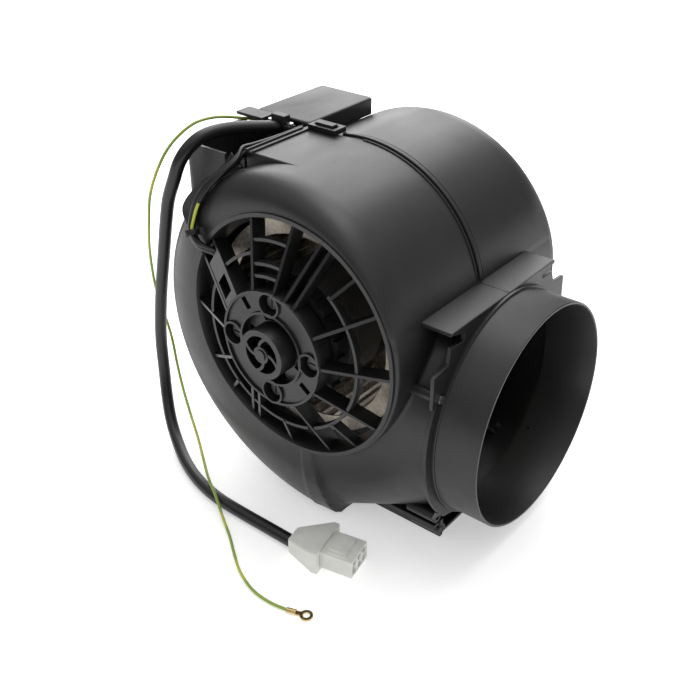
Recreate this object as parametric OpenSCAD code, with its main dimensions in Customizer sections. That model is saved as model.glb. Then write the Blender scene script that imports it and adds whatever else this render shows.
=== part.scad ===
// Double-inlet centrifugal blower with its motor inside the wheel.
// Millimetres, +Z up. The origin is the centre of the round outlet's open end,
// +X is the way the air leaves, and the wheel turns about a line along Y.

/* [Duct outlet] */
// Outside diameter of the round spigot
outlet_d = 150; // [125:1:160]
// Wall of the spigot
outlet_wall = 2; // [1.5:0.1:3]
// Length of the spigot that stands clear of its flange
spigot_len = 28; // [20:1:40]
// Distance from the wheel's axis to the spigot's open end
reach = 128; // [122:1:150]
// Height of the wheel's axis above the spigot's axis
rise = 51; // [45:1:58]

/* [Scroll casing] */
// Width of the casing from one inlet rim to the other
casing_w = 180; // [150:1:216]
// Gap between the wheel and the spiral wall, measured at angle zero
cutoff_gap = 5; // [4.5:0.1:8]
// Growth of the spiral's radius in one full turn
scroll_growth = 78.5; // [66:0.5:94]
// Wall of the casing
wall = 2.2; // [1.8:0.1:3]
// Width of the rounded shoulder on each side
shoulder = 19; // [14:1:23]
// Height of the bead along the joint between the two halves
seam_h = 1.8; // [1:0.1:3]

/* [Inlets] */
// How much wider the inlet opening is than the wheel, on the radius
inlet_gap = 6.5; // [6:0.1:8]
// Radius of the central disc that carries the motor
disc_r = 37.6; // [36:0.2:45]
// How far the central disc stands out of the casing's side
disc_out = 15; // [14:0.5:20]
// Thickness of the grille's ribs
rib_t = 2; // [1.5:0.1:3]
// Depth of the grille's ribs
rib_h = 11; // [8:0.5:12]

/* [Wheel] */
// Outside diameter of the wheel
wheel_d = 143; // [130:1:172]
// Gap from the casing's outer side face to the end of the wheel
wheel_side_gap = 17; // [16:0.5:25]
// Number of blades on each side of the wheel's disc
blade_count = 40; // [24:1:48]
// Radial depth of the blades
blade_depth = 10.5; // [8:0.5:14]
// Thickness of the blades' sheet
blade_t = 0.8; // [0.6:0.1:1.2]

/* [Motor] */
// Outside diameter of the motor's end covers, without teeth
motor_d = 78; // [66:1:84]
// Length of the motor over its end covers
motor_len = 54; // [46:1:60]
// Diameter of the shaft
shaft_d = 8; // [6:0.5:10]
// Radius of the circle of the four motor screws
screw_circle_r = 30; // [27:0.5:31]

/* [Wiring box] */
// Length of the lid along the wheel's axis
lid_len = 68; // [56:1:74]
// Width of the lid
lid_w = 46; // [38:1:50]
// Height of the lid
lid_h = 11.5; // [9.5:0.5:14]
// Wall of the box and of its lid
box_wall = 2; // [1.5:0.1:2.5]

/* [Hidden] */
$fn = 96;

// Running clearance of the shaft in its bearings, on the radius
run_fit = 0.03;
// Clearance between pieces that are put together by hand
hand_fit = 0.2;

// Casing
half_w = casing_w / 2;
wheel_r = wheel_d / 2;
scroll_start = wheel_r + cutoff_gap;
inlet_r = wheel_r + inlet_gap;
rim_r = inlet_r + 2.2;
core_r = 20;
duct_r = outlet_d / 2;
neck_in_r = duct_r + hand_fit;
neck_r = neck_in_r + wall;
flange_t = 2.5;
collar_flange_t = 2;
flange_x = reach - spigot_len - collar_flange_t;
shelf_z = duct_r + flange_t - rise;
shelf_half_w = 62;
deck_a = 98;
spiral_end = 280;
stations = 40;
tongue_a = tongue_angle(30);
rim_proud = 0.3;
drum_r = max(spiral_r(tongue_a), rim_r) + 0.3;
deck_z = spiral_r(deck_a) * sin(deck_a);
shelf_x = spiral_r(tongue_a) * cos(tongue_a) - 4;
scroll_depth = -spiral_r(275) * sin(275);
foot_z = -max(scroll_depth, rise + duct_r + 8) - 0.5;
foot_half_w = 50;
foot_front = flange_x - 7;

// Box on the casing's upper left
box_right = -56;
box_left = box_right - lid_w;
tray_left = box_left - 11;
tray_near = -60;
lid_near = -2;
lid_far = lid_near + lid_len;
lid_base = wall_z(box_right) + 0.4;
lid_top = lid_base + lid_h;
tray_top = lid_base + 3.5;

// Motor and wheel, measured from mid width towards the motor's side
motor_face = half_w + 2;
motor_back = motor_face - motor_len;
motor_r = motor_d / 2;
disc_face = half_w + disc_out;
disc_t = 2.5;
wheel_half = half_w - wheel_side_gap;
wheel_in_r = wheel_r - blade_depth;
sheet_t = 1.2;
shaft_r = shaft_d / 2;
hub_r = shaft_r + 5;
bush_h = 6;

// Free leads: diameters, and routes chosen by hand in the part's own frame
cable_d = 8.5;
wire_d = 2;
lead_d = 5;
CABLE = [[-202, 2, 143], [-202, -9, 145], [-206, -22, 147.5], [-213, -34, 149],
    [-220, -46, 149], [-223, -58, 148], [-226, -67, 143], [-230, -73, 134],
    [-235, -75, 121], [-242, -75, 106], [-248, -74, 88], [-256, -72, 62],
    [-263, -71, 36], [-269, -70, 10], [-272, -70, -14], [-270, -72, -38],
    [-264, -77, -56], [-254, -84, -69], [-240, -92, -77], [-221, -102, -80.9],
    [-199, -111, -80.9], [-176, -116, -80.9], [-153, -117, -80.9],
    [-130, -117, -80.9], [-106, -117, -80.9]];
EARTH = [[-226, 2, 143.6], [-228, -5, 144], [-233, -13, 145.4], [-238, -20, 147],
    [-244, -29, 147.6], [-249, -40, 146],
    [-253, -51, 140], [-256, -61, 131], [-260, -68, 117], [-264, -72, 101],
    [-269, -71, 82], [-274, -69, 64], [-278, -66, 45], [-280, -63, 24],
    [-278, -60, 4], [-272, -60, -16], [-263, -65, -34], [-251, -72, -47],
    [-235, -81, -58], [-219, -90, -67], [-204, -100, -72], [-188, -111, -74],
    [-172, -120, -76], [-157, -129, -80], [-143, -137, -83.2], [-129, -147, -83.8],
    [-115, -156, -83.8], [-99, -162, -83.8], [-84, -163, -83.8], [-72, -161, -83.8]];
LEAD = [[-189, 3, 142.6], [-189, -18, 142.6], [-189, -36, 142.9], [-188.8, -50, 143.8],
    [-188, -60, 145], [-186.5, -68, 142.5], [-190.8, -76.2, 136.6], [-196.4, -81.9, 129.8],
    [-201.6, -86.6, 119.7], [-203.5, -90.2, 108.6], [-201.4, -93.4, 101.4],
    [-197.6, -93.8, 96.2], [-193.4, -93.1, 93.5], [-188, -88.5, 89.8], [-179, -85, 84],
    [-170, -84.5, 78.5], [-161.5, -84.5, 72.8]];
LEAD_EARTH = [[-189, 3, 146.3], [-189, -18, 146.3], [-189, -36, 146.8],
    [-188.8, -50, 147.8], [-187.4, -60, 148.9], [-183.6, -69.5, 145], [-186.9, -78.5, 138.4],
    [-192.6, -84.6, 130.6], [-197.7, -89.4, 120.4], [-199.9, -93, 109.4], [-198.4, -96.4, 102.6],
    [-194.3, -96.6, 97.4], [-189.9, -93.4, 94.8], [-184.5, -88.6, 91.2], [-175.5, -86.6, 86],
    [-166.5, -87, 80.2], [-159, -88.2, 76]];
tie_k = 10;
// Top edge of the fence beside the motor's leads, from the wiring box to the grille
FENCE = [[-196, -60.5, 144.5], [-199, -64, 138], [-203.8, -68, 131.8],
    [-210.8, -72, 126.4], [-215, -81, 118.5], [-215, -87, 113], [-212.5, -89.5, 107.5],
    [-208.6, -91.5, 104]];

// ---- Frames ----

// Origin on the wheel's axis at mid width, axes as the part's own
module at_wheel() { translate([-reach, 0, rise]) children(); }

// Z runs along the wheel's axis towards the motor's side, X to the outlet, Y up
module on_shaft() { at_wheel() rotate([90, 0, 0]) children(); }

// ---- Outlines ----

function spiral_r(a) = scroll_start + scroll_growth * a / 360;
function on_spiral(a, off = 0) = (spiral_r(a) + off) * [cos(a), sin(a)];

// Angle at which the spiral is as high as the shelf above the outlet
function tongue_angle(tries, a = 15) =
    tries == 0 ? a : tongue_angle(tries - 1, asin(shelf_z / spiral_r(a)));

// Height of the spiral wall above the axis at a distance x to the left of it
function wall_z(x, tries = 30, a = 110) =
    tries == 0 ? spiral_r(a) * sin(a) : wall_z(x, tries - 1, acos(x / spiral_r(a)));

// Section of the casing: radius and distance from mid width, from one side to the other
function section(r, edge, w, round_w, steps = 6) = let (
        half = [for (i = [0:steps]) let (t = 90 * i / steps)
            [edge + (r - edge) * cos(t), w - round_w + round_w * sin(t)]])
    concat([[core_r, -w]], [for (i = [steps:-1:0]) [half[i][0], -half[i][1]]],
        half, [[core_r, w]]);

// Solid through a list of rings, each with the same number of points
module skin(rings) {
    n = len(rings[0]);
    m = len(rings);
    sides = [for (k = [0:m - 2], i = [0:n - 1]) let (
            j = (i + 1) % n, a = k * n + i, b = k * n + j, c = (k + 1) * n + j,
            d = (k + 1) * n + i) each [[a, c, b], [a, d, c]]];
    first = [for (i = [0:n - 1]) i];
    last = [for (i = [n - 1:-1:0]) (m - 1) * n + i];
    polyhedron([for (ring = rings) each ring], concat([first, last], sides));
}

function unit(v) = v / norm(v);
function mix(a, b, t) = a + (b - a) * t;

// Point at t between p1 and p2 on a smooth curve through four points
function curve_at(p0, p1, p2, p3, t) = 0.5 * (2 * p1 + (p2 - p0) * t
    + (2 * p0 - 5 * p1 + 4 * p2 - p3) * t * t + (3 * p1 - p0 - 3 * p2 + p3) * t * t * t);

// A route with one extra point halfway along each of its stretches
function smooth_route(p) = let (n = len(p)) [for (i = [0:n - 2], t = [0, 0.5])
        curve_at(p[max(i - 1, 0)], p[i], p[i + 1], p[min(i + 2, n - 1)], t), p[n - 1]];

// Round tube along a route that never runs along ref, with a ring at each of its points
module lead(route, d, sides = 8, ref = [0, 1, 0]) {
    p = smooth_route(route);
    n = len(p);
    skin([for (i = [0:n - 1]) let (
            t = unit(p[min(i + 1, n - 1)] - p[max(i - 1, 0)]),
            u = unit(cross(t, ref)), v = cross(u, t))
        [for (s = [0:sides - 1]) let (q = 360 * s / sides)
            p[i] + (u * cos(q) + v * sin(q)) * d / 2]]);
}

// Plate in the plane across the outlet, from an outline in Y and Z
module across(x0, x1) {
    translate([x0, 0, 0]) rotate([90, 0, 90]) linear_extrude(x1 - x0) children();
}

// Plate standing along the outlet, from an outline in X and Z
module along(y0, y1) {
    translate([0, y1, 0]) rotate([90, 0, 0]) linear_extrude(y1 - y0) children();
}

// ---- Casing ----

// Angle of one station along the spiral
function station(k) = mix(tongue_a, spiral_end, k / stations);

// Spiral body, with every wall moved by off
module spiral_body(off) {
    skin([for (k = [0:stations]) let (a = station(k))
        [for (p = section(spiral_r(a) + off, rim_r, half_w - rim_proud + off, shoulder))
            [p[0] * cos(a), p[1], p[0] * sin(a)]]]);
}

// Round body between the two inlets
module drum(off) {
    rotate([90, 0, 0]) cylinder(r = drum_r + off, h = casing_w + 2 * off, center = true,
        $fn = 72);
}

// Neck from the spiral's last section to the round outlet
module neck(off) {
    start_x = 10;
    end_x = off < 0 ? flange_x + 5 : flange_x - flange_t / 2;
    s = section(scroll_depth + off, rim_r, half_w - 2 * rim_proud + off, shoulder, 5);
    side_w = half_w - 4 + off;
    hull() {
        across(start_x, start_x + 0.5)
            polygon(concat([[-side_w, 0]],
                [for (p = s) if (p[0] > core_r) [p[1], -p[0]]], [[side_w, 0]]));
        across(flange_x - 10, end_x)
            translate([0, -rise]) circle(neck_r + off, $fn = 64);
    }
}

module body(off) {
    spiral_body(off);
    drum(off);
    neck(off);
}

// Bead along the joint, in short straight lengths; it stops at the box and at the feet
bead_w = 2.6;
module seam_bead(side) {
    for (k = [0:stations - 1]) if (has_bead(station(k)))
        hull() skin([for (a = [station(k), station(k + 1)])
            [for (p = [[-wall / 2, 0], [seam_h, 0], [seam_h, bead_w], [-wall / 2, bead_w]])
                let (q = on_spiral(a, p[0])) [q[0], side * p[1], q[1]]]]);
}

function has_bead(a) = a < 100 || (a > 160 && a < 240);

// Outline of the outlet's flange on one half: teeth on the far half, a slot on the near one
function flange_outline(side) = let (
        r = neck_r + 5, c = -rise, w = shelf_half_w, z = shelf_z) concat(
    [[-side, z]],
    side < 0
        ? [[-w, z], [-w, z - 1.5], [14 - w, z - 6], [13 - w, z - 11], [-w, z - 9],
            [-w - 1.5, z - 20], [-neck_r - 0.5, z - 22], [-neck_r - 0.5, z - 44]]
        : [[w - 6, z], [w - 6, z - flange_t], [w - 21, z - flange_t], [w - 20.5, z - 7.5],
            [w - 8, z - 7.5], [w - 4.4, z - 16.5], [neck_r - 6, z - 17.5],
            [neck_r - 5, z - 32]],
    [for (a = [155:10:225]) [-side * r * cos(a), c + r * sin(a)]],
    [for (a = [235:5:270]) [-side * (neck_r + 0.3) * cos(a), c + (neck_r + 0.3) * sin(a)]],
    [[-side, c - neck_r - 0.3]]);

// Flange, shelf, foot ribs and screw tubes around the outlet of one half
module outlet_frame(side) {
    inner = side * (foot_half_w - 3);
    tube_l = 22;
    across(flange_x - flange_t, flange_x) polygon(flange_outline(side));
    translate([shelf_x, side < 0 ? -shelf_half_w : -1, shelf_z - flange_t])
        cube([flange_x - shelf_x - 0.5, shelf_half_w + (side < 0 ? 1 : -5), flange_t]);
    along(min(inner, side * foot_half_w), max(inner, side * foot_half_w))
        polygon([[-30, foot_z], [foot_front, foot_z], [foot_front, foot_z + 14],
            [60, foot_z + 22], [-30, foot_z + 22]]);
    translate([38, side < 0 ? -foot_half_w + 1 : -1, foot_z + 0.4])
        cube([foot_front - 39, foot_half_w, 2.5]);
    translate([46, side < 0 ? -foot_half_w - 6 : foot_half_w - 1, foot_z + 10.5])
        cube([foot_front - 47, 7, 2.5]);
    for (p = foot_screws(side)) translate([foot_front - tube_l, p[0], p[1]])
        rotate([0, 90, 0]) cylinder(r = 4, h = tube_l, $fn = 20);
    // Web from the flange down and back to the upper screw tube
    hull() skin([for (p = [[flange_x, foot_z + 34, 50, 65], [foot_front, foot_z + 20, 49, 58]])
        [[p[0] - flange_t, side * p[2], p[1]], [p[0] - flange_t, side * p[3], p[1]],
            [p[0], side * p[3], p[1]], [p[0], side * p[2], p[1]]]]);
    translate([inlet_r * 0.85, side * (neck_r - 7), -13])
        rotate([0, 90, 0]) cylinder(r = 3.5, h = flange_x - inlet_r * 0.85, $fn = 20);
}

function foot_screws(side) = [[side * (foot_half_w + 4), foot_z + 19.5],
    [side * (foot_half_w - 2), foot_z + 5.5]];

// Flat deck beside the wiring box, with the two ridges that guard the leads
module deck() {
    edge = box_right - 1;
    translate([edge, tray_near, deck_z - 40]) cube([-12 - edge, -tray_near - 2.6, 40]);
    for (x = [edge, edge + 5]) translate([x, tray_near, deck_z - 2])
        cube([1.6, -tray_near - 8, 3.2]);
    for (k = [0:len(FENCE) - 2]) hull() skin([fence_ring(k), fence_ring(k + 1)]);
}

// Section of the fence at one of its points, from its top down into the casing's side
fence_t = 2;
function fence_ring(k) = let (p = FENCE[k] + [reach, 0, -rise], u = unit([p[0], 0, p[2]]),
        t = unit(FENCE[min(k + 1, len(FENCE) - 1)] - FENCE[max(k - 1, 0)]),
        n = unit(cross(t, u)) * fence_t / 2, a = atan2(p[2], p[0]),
        low = u * max(norm([p[0], p[2]]) - max(side_r(a, -p[1] - 2) - 1, rim_r + 1.5), 2))
    [p - n - low, p - n, p + n, p + n - low];

// Radius of the casing's side face at an angle and a distance y from mid width
function side_r(a, y) = let (t = min(max(y - half_w + shoulder, 0) / shoulder, 1))
    rim_r + (spiral_r(a) - rim_r) * sqrt(1 - t * t);

module casing_half(side) {
    at_wheel() color([0.16, 0.16, 0.17]) difference() {
        union() {
            body(0);
            seam_bead(side);
            outlet_frame(side);
            if (side < 0) deck();
        }
        body(-wall);
        rotate([90, 0, 0]) cylinder(r = inlet_r, h = casing_w + 20, center = true);
        for (p = foot_screws(side)) translate([foot_front - 14, p[0], p[1]])
            rotate([0, 90, 0]) cylinder(r = 1.8, h = 20, $fn = 16);
        translate([flange_x - 12, side * (neck_r - 7), -13])
            rotate([0, 90, 0]) cylinder(r = 1.6, h = 20, $fn = 16);
        translate([-300, side < 0 ? 0 : -300, -300]) cube([600, 300, 600]);
    }
}

module casing_front() { casing_half(-1); }
module casing_rear() { casing_half(1); }

// Round spigot, with a tail inside the neck and a flange on the casing's
module outlet_collar() {
    tail = 8;
    at_wheel() color([0.2, 0.2, 0.21]) translate([flange_x, 0, -rise]) rotate([0, 90, 0])
        difference() {
            union() {
                translate([0, 0, -tail]) cylinder(r = duct_r, h = reach - flange_x + tail);
                cylinder(r = neck_r - 0.4, h = collar_flange_t);
            }
            translate([0, 0, -tail - 1])
                cylinder(r = duct_r - outlet_wall, h = reach - flange_x + tail + 2);
        }
}

module casing_screws() {
    screw_r = 1.8 - hand_fit;
    at_wheel() color([0.62, 0.62, 0.6]) for (side = [-1, 1])
        translate([flange_x - 10, side * (neck_r - 7), -13]) rotate([0, 90, 0]) {
            cylinder(r = 1.6 - hand_fit, h = 10);
            translate([0, 0, 10]) cylinder(r = screw_r + 1, h = 1.6);
        }
}

// ---- Inlets ----

// Ring that fills an inlet opening, with its lip against the casing's side
module inlet_ring() {
    difference() {
        union() {
            translate([0, 0, half_w - 10]) cylinder(r = inlet_r - hand_fit, h = 10);
            translate([0, 0, half_w]) cylinder(r = rim_r - 0.4, h = 1.4);
        }
        cylinder(r = inlet_r - 4.5, h = half_w + 10);
        translate([0, 0, half_w - 8]) cylinder(r1 = inlet_r - 4.5, r2 = inlet_r - 0.6, h = 9.5);
    }
}

// Upper edge of the grille's ribs: its height at a radius
function rib_top(r) = mix(disc_face, half_w + 0.6, (r - disc_r) / (inlet_r - 4 - disc_r));

// Radial rib at an angle, beside the centre line by off
module rib(a, off = 0, from_r = disc_r - 1, h = rib_h) {
    to_r = inlet_r - 1.5;
    rotate(a) translate([0, off + rib_t / 2, 0]) rotate([90, 0, 0]) linear_extrude(rib_t)
        polygon([[from_r, rib_top(from_r) - h], [to_r, rib_top(to_r) - h],
            [to_r, rib_top(to_r)], [from_r, rib_top(from_r)]]);
}

// Curved slat between two angles at a radius
module slat(r, a0, a1, h) {
    rotate(a0) rotate_extrude(angle = a1 - a0)
        translate([r - rib_t / 2, rib_top(r) - 0.6 - h]) square([rib_t, h]);
}

RIBS = [0, 30, 85, 110, 180, 210, 294, 330];
trough_a = 147;
RIB_PAIRS = [[66.5, 3.5], [trough_a, 8], [246, 3]];
SHORT_RIBS = [48, 228, 270, 312];
mid_r = 57.5;

nose_r = 16;
groove_r = 22.8;
groove_h = 6;
// Start and sweep of the openings in the groove's floor
GROOVE_GAPS = [[92, 26], [158, 132], [325, 45]];

// Motor support: ring, ribs, disc with four screw tubes, and a slotted nose
module motor_grille() {
    on_shaft() color([0.18, 0.18, 0.19]) {
        difference() {
            inlet_ring();
            rotate(trough_a - 0.5) translate([inlet_r - 8, -6.5, half_w - 3])
                cube([12, 13, 10]);
        }
        for (a = RIBS) rib(a);
        for (p = RIB_PAIRS, s = [-1, 1]) rib(p[0], s * p[1]);
        for (a = SHORT_RIBS) rib(a, 0, mid_r, 7);
        for (r = [mid_r - 12.5, mid_r - 6, mid_r + 7]) slat(r, 85, 110, 4);
        for (s = [[-66, 50], [110, 140], [154, 180], [180, 290]]) slat(mid_r, s[0], s[1], 6);
        trough_cover();
        difference() {
            union() {
                translate([0, 0, disc_face - disc_t]) cylinder(r = disc_r, h = disc_t);
                translate([0, 0, disc_face - rib_h]) cylinder(r = disc_r, h = rib_h + 1.5);
            }
            translate([0, 0, disc_face - rib_h - 1])
                cylinder(r = disc_r - 1.6, h = rib_h - disc_t + 1);
            translate([0, 0, disc_face]) cylinder(r = disc_r - 1.6, h = 5);
            for (a = [0:90:270]) rotate(a) translate([screw_circle_r, 0, disc_face - 5])
                cylinder(r = 6.8, h = 10);
            for (a = [127, 325]) rotate(a) translate([disc_r - 10.5, -2, disc_face - 5])
                cube([8, 4, 10]);
            translate([0, 0, disc_face - 5]) cylinder(r = groove_r + 0.7, h = 10);
        }
        for (a = [0:90:270]) rotate(a) translate([screw_circle_r, 0, motor_face + bush_h])
            screw_tube();
        translate([0, 0, disc_face - groove_h]) nose_base();
        translate([0, 0, disc_face + 7.5]) nose_plate();
    }
}

// Groove around the nose, with its broken floor, and the nose's own wall
module nose_base() {
    difference() {
        cylinder(r = groove_r + 1.4, h = groove_h + 1.5);
        translate([0, 0, 1.5]) cylinder(r = groove_r, h = groove_h + 1);
        translate([0, 0, -1]) cylinder(r = nose_r - 1.4, h = 5);
        for (g = GROOVE_GAPS) rotate(g[0]) rotate_extrude(angle = g[1])
            translate([nose_r + 0.8, -1]) square([groove_r - nose_r - 1.6, 4]);
    }
    difference() {
        cylinder(r = nose_r, h = groove_h + 9);
        translate([0, 0, -1]) cylinder(r = nose_r - 1.4, h = groove_h + 11);
    }
}

// Sloping plate over the motor's leads, with a hole near the disc
module trough_cover() {
    half_gap = RIB_PAIRS[1][1] - rib_t / 2 + 0.5;
    end_r = inlet_r - 9;
    rotate(trough_a) difference() {
        translate([0, half_gap, 0]) rotate([90, 0, 0]) linear_extrude(2 * half_gap)
            polygon([for (p = [[disc_r - 1, 2.3], [end_r, 2.3], [end_r, 0.3], [disc_r - 1, 0.3]])
                [p[0], rib_top(p[0]) - p[1]]]);
        translate([disc_r + 5, -5, motor_face]) cube([12, 10, 20]);
    }
}

// Tube that a motor screw stands in, open at the top, with a floor to clamp on
module screw_tube() {
    tube_h = disc_face + 1.5 - motor_face - bush_h;
    difference() {
        cylinder(r = 8.2, h = tube_h);
        translate([0, 0, 2]) cylinder(r = 6.8, h = tube_h);
        translate([0, 0, -1]) cylinder(r = 2.4, h = 5);
    }
}

// Front of the nose: a boss held by four curved arms
module nose_plate() {
    boss_r = 5.5;
    rim_in = nose_r - 3.7;
    arm_w = 1.9;
    difference() {
        cylinder(r = nose_r, h = 1.5);
        translate([0, 0, -1]) cylinder(r = rim_in, h = 4);
    }
    cylinder(r = boss_r, h = 1.8);
    cylinder(r = boss_r - 2, h = 2.6);
    for (a = [20:90:290]) linear_extrude(1.5) polygon([for (e = [-1, 1], t = [0:0.25:1])
        let (k = e < 0 ? t : 1 - t, r = mix(boss_r - 1, rim_in + 0.8, k),
            w = a - 40 * k, side = e * arm_w / 2)
        r * [cos(w), sin(w)] + side * [cos(w + 57), sin(w + 57)]]);
}

// Finger guard of the other inlet: ring, three hoops, twelve spokes and a middle
module inlet_guard() {
    mirror([0, 1, 0]) on_shaft() color([0.18, 0.18, 0.19]) {
        inlet_ring();
        for (a = [0:30:330]) rotate(a) translate([14, -1, half_w - 2])
            cube([inlet_r - 14.5, 2, 3.4]);
        for (r = [30, 46, 62]) difference() {
            translate([0, 0, half_w - 2]) cylinder(r = r + 1, h = 3);
            translate([0, 0, half_w - 3]) cylinder(r = r - 1, h = 5);
        }
        translate([0, 0, half_w - 2]) cylinder(r = 15, h = 3.4);
    }
}

// ---- Motor ----

// Cover at the motor's open end, with teeth around its edge
module motor_cover_front() {
    tooth = 360 / 24;
    on_shaft() color([0.3, 0.3, 0.31]) translate([0, 0, motor_face - 12]) difference() {
        union() {
            cylinder(r = motor_r, h = 12);
            for (a = [0:tooth:359]) rotate(a) translate([motor_r - 1, -2.4, 5])
                cube([3.4, 4.8, 7]);
        }
        translate([0, 0, -1]) cylinder(r = motor_r - 1.6, h = 11);
        translate([0, 0, -1]) cylinder(r = shaft_r + 4, h = 20);
        for (a = [0:90:270]) rotate(a) translate([screw_circle_r, 0, 0])
            cylinder(r = 2.2, h = 20);
        for (a = [45:90:315]) rotate(a) translate([20, 0, 0]) cylinder(r = 5, h = 20);
    }
}

module motor_cover_rear() {
    on_shaft() color([0.3, 0.3, 0.31]) translate([0, 0, motor_back]) difference() {
        cylinder(r = motor_r, h = 10);
        translate([0, 0, 2]) cylinder(r = motor_r - 1.6, h = 10);
        translate([0, 0, -1]) cylinder(r = shaft_r + 4, h = 20);
        for (a = [0:60:300]) rotate(a) translate([24, 0, -1]) cylinder(r = 5, h = 6);
    }
}

// Space between the two covers that the laminations fill
core_z0 = motor_back + 10;
core_z1 = motor_face - 12;
rotor_r = 18;
air_gap = 0.4;
winding_h = 7;

module stator_core() {
    on_shaft() color([0.45, 0.44, 0.43]) translate([0, 0, core_z0]) difference() {
        cylinder(r = motor_r, h = core_z1 - core_z0);
        translate([0, 0, -1]) cylinder(r = rotor_r + air_gap, h = 80);
        for (a = [0:45:315]) rotate(a) translate([26, 0, -1]) cylinder(r = 4.5, h = 80);
    }
}

module stator_windings() {
    on_shaft() color([0.72, 0.4, 0.2]) for (z = [core_z0 - winding_h, core_z1])
        translate([0, 0, z]) difference() {
            cylinder(r = 31, h = winding_h);
            translate([0, 0, -1]) cylinder(r = 21, h = winding_h + 2);
        }
}

module bearing(z, h) {
    on_shaft() color([0.66, 0.52, 0.3]) translate([0, 0, z]) difference() {
        cylinder(r = shaft_r + 4, h = h);
        translate([0, 0, -1]) cylinder(r = shaft_r + run_fit, h = h + 2);
    }
}

module bearing_front() { bearing(motor_face - 5, 5); }
module bearing_rear() { bearing(motor_back, 5); }

module motor_bushes() {
    on_shaft() color([0.07, 0.07, 0.07]) for (a = [0:90:270]) rotate(a)
        translate([screw_circle_r, 0, motor_face]) difference() {
            cylinder(r = 5.8, h = bush_h);
            translate([0, 0, -1]) cylinder(r = 2.4, h = bush_h + 2);
        }
}

module motor_screws() {
    on_shaft() color([0.62, 0.62, 0.6]) for (a = [0:90:270]) rotate(a)
        translate([screw_circle_r, 0, motor_face]) difference() {
            union() {
                translate([0, 0, -5]) cylinder(r = 2, h = bush_h + 8);
                translate([0, 0, bush_h + 2]) cylinder(r = 4, h = 2.6);
            }
            translate([0, 0, bush_h + 4.2]) cube([5.6, 1, 2], center = true);
        }
}

// ---- Wheel ----

module rotor_core() {
    on_shaft() color([0.5, 0.5, 0.5]) translate([0, 0, core_z0]) difference() {
        cylinder(r = rotor_r, h = core_z1 - core_z0);
        translate([0, 0, -1]) cylinder(r = shaft_r, h = 80);
    }
}

module motor_shaft() {
    on_shaft() color([0.75, 0.75, 0.76])
        translate([0, 0, -10]) cylinder(r = shaft_r, h = motor_face + 14);
}

// Round plate between the two sets of blades, with eight holes for cooling air
module wheel_disc() {
    on_shaft() color([0.56, 0.53, 0.49]) difference() {
        cylinder(r = wheel_r, h = sheet_t, center = true);
        cylinder(r = hub_r, h = 5, center = true);
        for (a = [0:45:315]) rotate(a) translate([40, 0, -2]) cylinder(r = 7, h = 4);
    }
}

module wheel_hub() {
    on_shaft() color([0.6, 0.6, 0.6]) difference() {
        union() {
            translate([0, 0, -8]) cylinder(r = hub_r, h = 22);
            translate([0, 0, sheet_t / 2]) cylinder(r = hub_r + 9, h = 2.4);
        }
        translate([0, 0, -9]) cylinder(r = shaft_r, h = 40);
        translate([0, 0, 9]) rotate([0, 90, 0]) cylinder(r = 2, h = 30);
    }
}

module hub_set_screw() {
    on_shaft() color([0.3, 0.3, 0.3]) translate([shaft_r, 0, 9]) rotate([0, 90, 0])
        difference() {
            cylinder(r = 2, h = hub_r - shaft_r);
            translate([0, 0, hub_r - shaft_r - 1.5]) cylinder(r = 1, h = 3, $fn = 6);
        }
}

// Outline of one forward-curved blade, from its inner edge to its outer edge
function blade_line(off) = [for (i = [0:4]) let (
        t = i / 4, r = mix(wheel_in_r + 0.4, wheel_r - 0.4, t), a = 9 * t * t - 2.5 * t)
    [r * cos(a), r * sin(a) + off]];

module blades(z0, z1) {
    back = blade_line(blade_t / 2);
    front = blade_line(-blade_t / 2);
    outline = concat(front, [for (i = [len(back) - 1:-1:0]) back[i]]);
    for (k = [0:blade_count - 1]) rotate(360 * k / blade_count)
        translate([0, 0, z0]) linear_extrude(z1 - z0) polygon(outline);
}

module wheel_blades_front() {
    on_shaft() color([0.56, 0.53, 0.49]) blades(sheet_t / 2, wheel_half - sheet_t);
}

module wheel_blades_rear() {
    on_shaft() color([0.56, 0.53, 0.49]) blades(-wheel_half + sheet_t, -sheet_t / 2);
}

module end_ring(z) {
    on_shaft() color([0.56, 0.53, 0.49]) translate([0, 0, z]) difference() {
        cylinder(r = wheel_r, h = sheet_t);
        translate([0, 0, -1]) cylinder(r = wheel_in_r, h = 5);
    }
}

module wheel_ring_front() { end_ring(wheel_half - sheet_t); }
module wheel_ring_rear() { end_ring(-wheel_half); }

// ---- Wiring box ----

// Outline of the box in X and Z, resting on the spiral wall, made smaller by inset
function box_outline(inset, top) = let (
        x0 = tray_left + inset, x1 = box_right - 2 - inset, lift = 0.4 + inset, n = 8,
        foot_x = tray_left + 14, foot_h = wall_z(foot_x) + lift)
    concat([[x1, top], [x0, top], [x0, foot_h + 14], [x0 + 4, foot_h + 4]],
        [for (i = [0:n]) let (x = mix(foot_x, x1, i / n)) [x, wall_z(x) + lift]]);

// Outline of the box seen from above, with its left corners round
module box_plan(inset) {
    r = 8 - inset;
    x0 = tray_left + inset;
    y0 = tray_near + inset;
    y1 = lid_far - inset;
    translate([0, 0, -20]) linear_extrude(150) hull() {
        for (y = [y0 + r, y1 - r]) translate([x0 + r, y]) circle(r, $fn = 48);
        translate([box_right - 3, y0]) square([1, y1 - y0]);
    }
}

// Bridge that holds the cable where it leaves the box, on two posts
clamp_x = box_left + 28;
clamp_y = -12;
clamp_base = tray_top - 2;
clamp_half = 8;

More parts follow.
